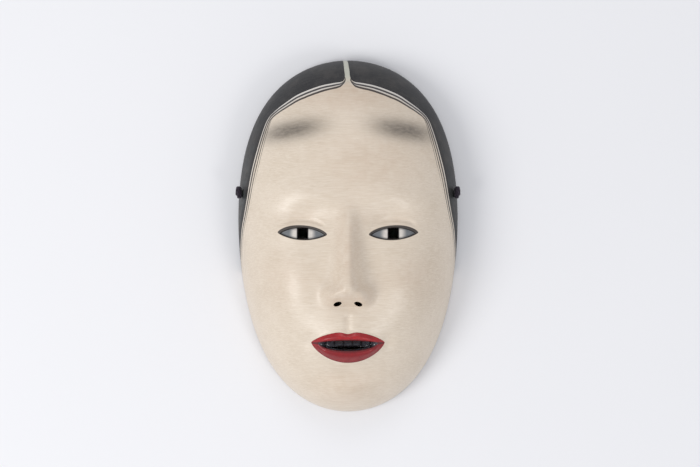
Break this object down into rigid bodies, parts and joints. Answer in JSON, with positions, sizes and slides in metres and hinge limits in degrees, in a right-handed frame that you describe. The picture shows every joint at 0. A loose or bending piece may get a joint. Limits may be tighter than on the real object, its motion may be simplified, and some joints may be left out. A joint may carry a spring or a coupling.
{
  "type": "noh mask",
  "caption": "Carved wooden theatre mask of a calm young woman, with painted parted hair, pierced eyes and mouth, a hollow back and a knotted cord.",
  "frame": {"origin": "middle of the plane that the rim's flat back edge rests on, the cord left out", "axes": "+Z out of the face, +Y to the top of the head, +X to the viewer's right as the face is looked at; the mask lies on its back"},
  "size_m": [0.1342, 0.212, 0.0647],
  "materials": {
    "hinoki": "bare carved cypress, stained brown inside",
    "gofun": "satin cream shell-chalk paint with fine brush lines",
    "hair_ink": "satin black ink over the ground",
    "eye_white": "satin white shaded grey to the corners",
    "lip_red": "satin vermilion",
    "teeth_black": "glossy black lacquer",
    "silk": "dark purple braided silk"
  },
  "bodies": {
    "root": {"wood_body": "hinoki", "face_coat": "gofun", "hair_left": "hair_ink", "hair_right": "hair_ink", "eye_left": "eye_white", "eye_right": "eye_white", "lip_upper": "lip_red", "lip_lower": "lip_red", "teeth": "teeth_black", "cord": "silk", "knot_left": "silk", "knot_right": "silk"}
  },
  "joints": []
}
